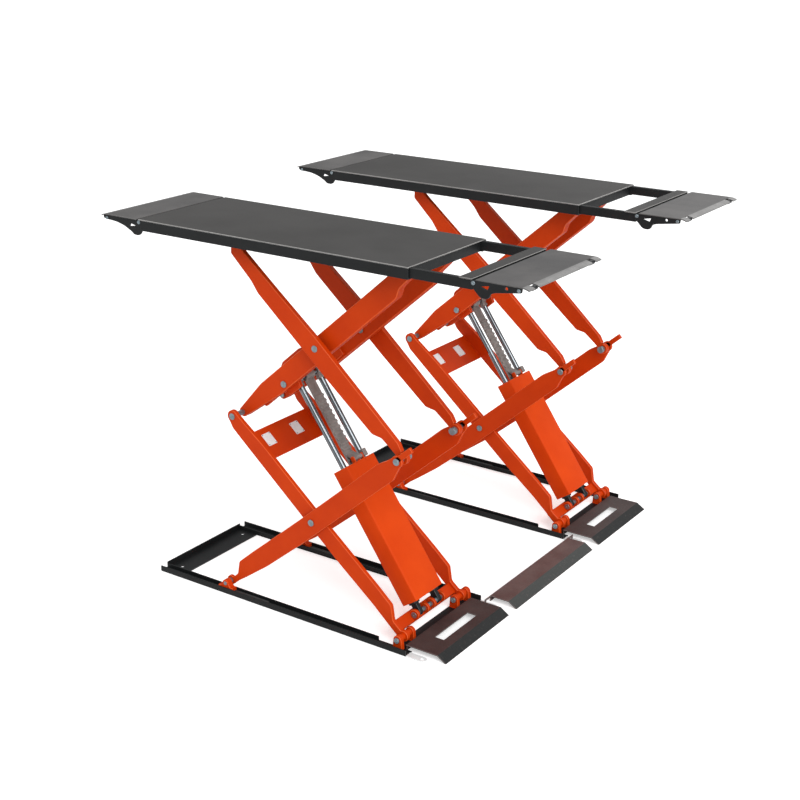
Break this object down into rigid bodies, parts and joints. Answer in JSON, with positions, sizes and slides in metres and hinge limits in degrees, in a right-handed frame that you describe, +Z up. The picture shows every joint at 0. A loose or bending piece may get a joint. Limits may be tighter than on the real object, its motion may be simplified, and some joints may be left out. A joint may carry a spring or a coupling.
{
  "type": "scissor car lift",
  "caption": "Double-scissor car lift with two flat platforms on crossed arms, cylinder packs with lock racks, a sliding extension and end flaps, shown raised",
  "frame": {"origin": "on the floor at the middle of the bounding box, between the two lift units", "axes": "+X along the platforms towards the fixed pivots and exit flaps, +Y from the near unit to the far unit, +Z up"},
  "size_m": [2.329, 2.156, 1.8031],
  "materials": {
    "orange_paint": "semi-gloss orange paint",
    "deck_paint": "fine-textured grey paint",
    "dark_paint": "satin dark grey paint",
    "brown_paint": "satin brown-black paint",
    "pin_steel": "turned zinc-plated steel",
    "rod_chrome": "polished hard chrome",
    "black_steel": "semi-gloss black paint"
  },
  "bodies": {
    "floor": {"mid_cover": "brown_paint", "lift_a_floor_frame": "dark_paint", "lift_a_ramp_cover": "brown_paint", "lift_a_near_base_pin": "pin_steel", "lift_a_far_base_pin": "pin_steel", "lift_b_floor_frame": "dark_paint", "lift_b_ramp_cover": "brown_paint", "lift_b_near_base_pin": "pin_steel", "lift_b_far_base_pin": "pin_steel"},
    "lift_a_base_arms": {"lift_a_base_arms": "orange_paint"},
    "lift_a_slide_arms": {"lift_a_near_slide_arm": "orange_paint", "lift_a_far_slide_arm": "orange_paint", "lift_a_near_right_knuckle_pin": "pin_steel", "lift_a_far_right_knuckle_pin": "pin_steel"},
    "lift_a_foot_shoes": {"lift_a_near_foot_shoe": "orange_paint", "lift_a_far_foot_shoe": "orange_paint"},
    "lift_a_lift_arms": {"lift_a_lift_arms": "orange_paint", "lift_a_near_left_knuckle_pin": "pin_steel", "lift_a_far_left_knuckle_pin": "pin_steel"},
    "lift_a_top_arms": {"lift_a_top_arms": "orange_paint"},
    "lift_a_top_shoes": {"lift_a_near_top_shoe": "dark_paint", "lift_a_far_top_shoe": "dark_paint"},
    "lift_a_cylinders": {"lift_a_cylinder_cover": "orange_paint", "lift_a_cylinder_barrels": "black_steel"},
    "lift_a_pawl": {"lift_a_lock_pawl": "black_steel"},
    "lift_a_rods": {"lift_a_piston_rods": "rod_chrome", "lift_a_lock_rack": "pin_steel"},
    "lift_a_platform": {"lift_a_deck_top": "deck_paint", "lift_a_deck_frame": "dark_paint", "lift_a_deck_axle": "pin_steel"},
    "lift_a_extension": {"lift_a_extension_frame": "deck_paint"},
    "lift_a_exit_flap": {"lift_a_exit_flap": "deck_paint"},
    "lift_a_exit_rollers": {"lift_a_exit_flap_rollers": "pin_steel"},
    "lift_a_entry_flap": {"lift_a_entry_flap": "deck_paint"},
    "lift_b_base_arms": {"lift_b_base_arms": "orange_paint"},
    "lift_b_slide_arms": {"lift_b_near_slide_arm": "orange_paint", "lift_b_far_slide_arm": "orange_paint", "lift_b_near_right_knuckle_pin": "pin_steel", "lift_b_far_right_knuckle_pin": "pin_steel"},
    "lift_b_foot_shoes": {"lift_b_near_foot_shoe": "orange_paint", "lift_b_far_foot_shoe": "orange_paint"},
    "lift_b_lift_arms": {"lift_b_lift_arms": "orange_paint", "lift_b_near_left_knuckle_pin": "pin_steel", "lift_b_far_left_knuckle_pin": "pin_steel"},
    "lift_b_top_arms": {"lift_b_top_arms": "orange_paint"},
    "lift_b_top_shoes": {"lift_b_near_top_shoe": "dark_paint", "lift_b_far_top_shoe": "dark_paint"},
    "lift_b_cylinders": {"lift_b_cylinder_cover": "orange_paint", "lift_b_cylinder_barrels": "black_steel"},
    "lift_b_pawl": {"lift_b_lock_pawl": "black_steel"},
    "lift_b_rods": {"lift_b_piston_rods": "rod_chrome", "lift_b_lock_rack": "pin_steel"},
    "lift_b_platform": {"lift_b_deck_top": "deck_paint", "lift_b_deck_frame": "dark_paint", "lift_b_deck_axle": "pin_steel"},
    "lift_b_extension": {"lift_b_extension_frame": "deck_paint"},
    "lift_b_exit_flap": {"lift_b_exit_flap": "deck_paint"},
    "lift_b_exit_rollers": {"lift_b_exit_flap_rollers": "pin_steel"},
    "lift_b_entry_flap": {"lift_b_entry_flap": "deck_paint"}
  },
  "joints": [
    {"name": "lift_a_rise", "type": "hinge", "parent": "floor", "child": "lift_a_base_arms", "pos_m": [0.54552, -0.75, 0.05], "axis": [0, 1, 0], "range_deg": [-40, 0]},
    {"name": "lift_a_slide_arm_turn", "type": "hinge", "parent": "lift_a_base_arms", "child": "lift_a_slide_arms", "pos_m": [0.04065, -0.75, 0.49198], "axis": [0, 1, 0], "range_deg": [0, 80]},
    {"name": "lift_a_foot_turn", "type": "hinge", "parent": "lift_a_slide_arms", "child": "lift_a_foot_shoes", "pos_m": [-0.46422, -0.75, 0.05], "axis": [0, 1, 0], "range_deg": [-40, 0]},
    {"name": "lift_a_lift_arm_turn", "type": "hinge", "parent": "lift_a_base_arms", "child": "lift_a_lift_arms", "pos_m": [-0.43638, -0.75, 0.90959], "axis": [0, 1, 0], "range_deg": [0, 80]},
    {"name": "lift_a_top_arm_turn", "type": "hinge", "parent": "lift_a_lift_arms", "child": "lift_a_top_arms", "pos_m": [0.04065, -0.75, 1.3272], "axis": [0, 1, 0], "range_deg": [-80, 0]},
    {"name": "lift_a_deck_turn", "type": "hinge", "parent": "lift_a_lift_arms", "child": "lift_a_platform", "pos_m": [0.5078, -0.75, 1.75609], "axis": [0, 1, 0], "range_deg": [-40, 0]},
    {"name": "lift_a_top_shoe_turn", "type": "hinge", "parent": "lift_a_top_arms", "child": "lift_a_top_shoes", "pos_m": [-0.4265, -0.75, 1.75609], "axis": [0, 1, 0], "range_deg": [0, 40]},
    {"name": "lift_a_cylinder_tilt", "type": "hinge", "parent": "lift_a_base_arms", "child": "lift_a_cylinders", "pos_m": [0.51731, -0.75, 0.09065], "axis": [0, 1, 0], "range_deg": [-15.5, 0]},
    {"name": "lift_a_rod_stroke", "type": "slide", "parent": "lift_a_cylinders", "child": "lift_a_rods", "axis": [-0.5701, 0, 0.8216], "range_m": [-0.288, 0]},
    {"name": "lift_a_pawl_turn", "type": "hinge", "parent": "lift_a_cylinders", "child": "lift_a_pawl", "pos_m": [0.10679, -0.75, 0.74544], "axis": [0, 1, 0], "range_deg": [0, 15]},
    {"name": "lift_a_extension_slide", "type": "slide", "parent": "lift_a_platform", "child": "lift_a_extension", "axis": [1, 0, 0], "range_m": [-0.24, 0]},
    {"name": "lift_a_exit_flap_turn", "type": "hinge", "parent": "lift_a_extension", "child": "lift_a_exit_flap", "pos_m": [0.9085, -0.75, 1.78709], "axis": [0, 1, 0], "range_deg": [0, 35]},
    {"name": "lift_a_exit_roller_spin", "type": "hinge", "parent": "lift_a_exit_flap", "child": "lift_a_exit_rollers", "pos_m": [1.1465, -0.75, 1.79109], "axis": [0, 1, 0], "continuous": true},
    {"name": "lift_a_entry_flap_turn", "type": "hinge", "parent": "lift_a_platform", "child": "lift_a_entry_flap", "pos_m": [-0.9272, -0.75, 1.78709], "axis": [0, 1, 0], "range_deg": [-35, 0]},
    {"name": "lift_b_rise", "type": "hinge", "parent": "floor", "child": "lift_b_base_arms", "pos_m": [0.54552, 0.75, 0.05], "axis": [0, 1, 0], "range_deg": [-40, 0]},
    {"name": "lift_b_slide_arm_turn", "type": "hinge", "parent": "lift_b_base_arms", "child": "lift_b_slide_arms", "pos_m": [0.04065, 0.75, 0.49198], "axis": [0, 1, 0], "range_deg": [0, 80]},
    {"name": "lift_b_foot_turn", "type": "hinge", "parent": "lift_b_slide_arms", "child": "lift_b_foot_shoes", "pos_m": [-0.46422, 0.75, 0.05], "axis": [0, 1, 0], "range_deg": [-40, 0]},
    {"name": "lift_b_lift_arm_turn", "type": "hinge", "parent": "lift_b_base_arms", "child": "lift_b_lift_arms", "pos_m": [-0.43638, 0.75, 0.90959], "axis": [0, 1, 0], "range_deg": [0, 80]},
    {"name": "lift_b_top_arm_turn", "type": "hinge", "parent": "lift_b_lift_arms", "child": "lift_b_top_arms", "pos_m": [0.04065, 0.75, 1.3272], "axis": [0, 1, 0], "range_deg": [-80, 0]},
    {"name": "lift_b_deck_turn", "type": "hinge", "parent": "lift_b_lift_arms", "child": "lift_b_platform", "pos_m": [0.5078, 0.75, 1.75609], "axis": [0, 1, 0], "range_deg": [-40, 0]},
    {"name": "lift_b_top_shoe_turn", "type": "hinge", "parent": "lift_b_top_arms", "child": "lift_b_top_shoes", "pos_m": [-0.4265, 0.75, 1.75609], "axis": [0, 1, 0], "range_deg": [0, 40]},
    {"name": "lift_b_cylinder_tilt", "type": "hinge", "parent": "lift_b_base_arms", "child": "lift_b_cylinders", "pos_m": [0.51731, 0.75, 0.09065], "axis": [0, 1, 0], "range_deg": [-15.5, 0]},
    {"name": "lift_b_rod_stroke", "type": "slide", "parent": "lift_b_cylinders", "child": "lift_b_rods", "axis": [-0.5701, 0, 0.8216], "range_m": [-0.288, 0]},
    {"name": "lift_b_pawl_turn", "type": "hinge", "parent": "lift_b_cylinders", "child": "lift_b_pawl", "pos_m": [0.10679, 0.75, 0.74544], "axis": [0, 1, 0], "range_deg": [0, 15]},
    {"name": "lift_b_extension_slide", "type": "slide", "parent": "lift_b_platform", "child": "lift_b_extension", "axis": [1, 0, 0], "range_m": [-0.24, 0]},
    {"name": "lift_b_exit_flap_turn", "type": "hinge", "parent": "lift_b_extension", "child": "lift_b_exit_flap", "pos_m": [0.9085, 0.75, 1.78709], "axis": [0, 1, 0], "range_deg": [0, 35]},
    {"name": "lift_b_exit_roller_spin", "type": "hinge", "parent": "lift_b_exit_flap", "child": "lift_b_exit_rollers", "pos_m": [1.1465, 0.75, 1.79109], "axis": [0, 1, 0], "continuous": true},
    {"name": "lift_b_entry_flap_turn", "type": "hinge", "parent": "lift_b_platform", "child": "lift_b_entry_flap", "pos_m": [-0.9272, 0.75, 1.78709], "axis": [0, 1, 0], "range_deg": [-35, 0]}
  ],
  "couplings": [
    {"joint": "lift_a_slide_arm_turn", "follows": "lift_a_rise", "ratio": -2},
    {"joint": "lift_a_foot_turn", "follows": "lift_a_rise", "ratio": 1},
    {"joint": "lift_a_lift_arm_turn", "follows": "lift_a_rise", "ratio": -2},
    {"joint": "lift_a_top_arm_turn", "follows": "lift_a_rise", "ratio": 2},
    {"joint": "lift_a_deck_turn", "follows": "lift_a_rise", "ratio": 1},
    {"joint": "lift_a_top_shoe_turn", "follows": "lift_a_rise", "ratio": -1},
    {"joint": "lift_a_cylinder_tilt", "follows": "lift_a_rise", "ratio": 0.3858},
    {"joint": "lift_a_rod_stroke", "follows": "lift_a_rise", "m_per_rad": 0.41194},
    {"joint": "lift_b_rise", "follows": "lift_a_rise", "ratio": 1},
    {"joint": "lift_b_slide_arm_turn", "follows": "lift_a_rise", "ratio": -2},
    {"joint": "lift_b_foot_turn", "follows": "lift_a_rise", "ratio": 1},
    {"joint": "lift_b_lift_arm_turn", "follows": "lift_a_rise", "ratio": -2},
    {"joint": "lift_b_top_arm_turn", "follows": "lift_a_rise", "ratio": 2},
    {"joint": "lift_b_deck_turn", "follows": "lift_a_rise", "ratio": 1},
    {"joint": "lift_b_top_shoe_turn", "follows": "lift_a_rise", "ratio": -1},
    {"joint": "lift_b_cylinder_tilt", "follows": "lift_a_rise", "ratio": 0.3858},
    {"joint": "lift_b_rod_stroke", "follows": "lift_a_rise", "m_per_rad": 0.41194}
  ]
}
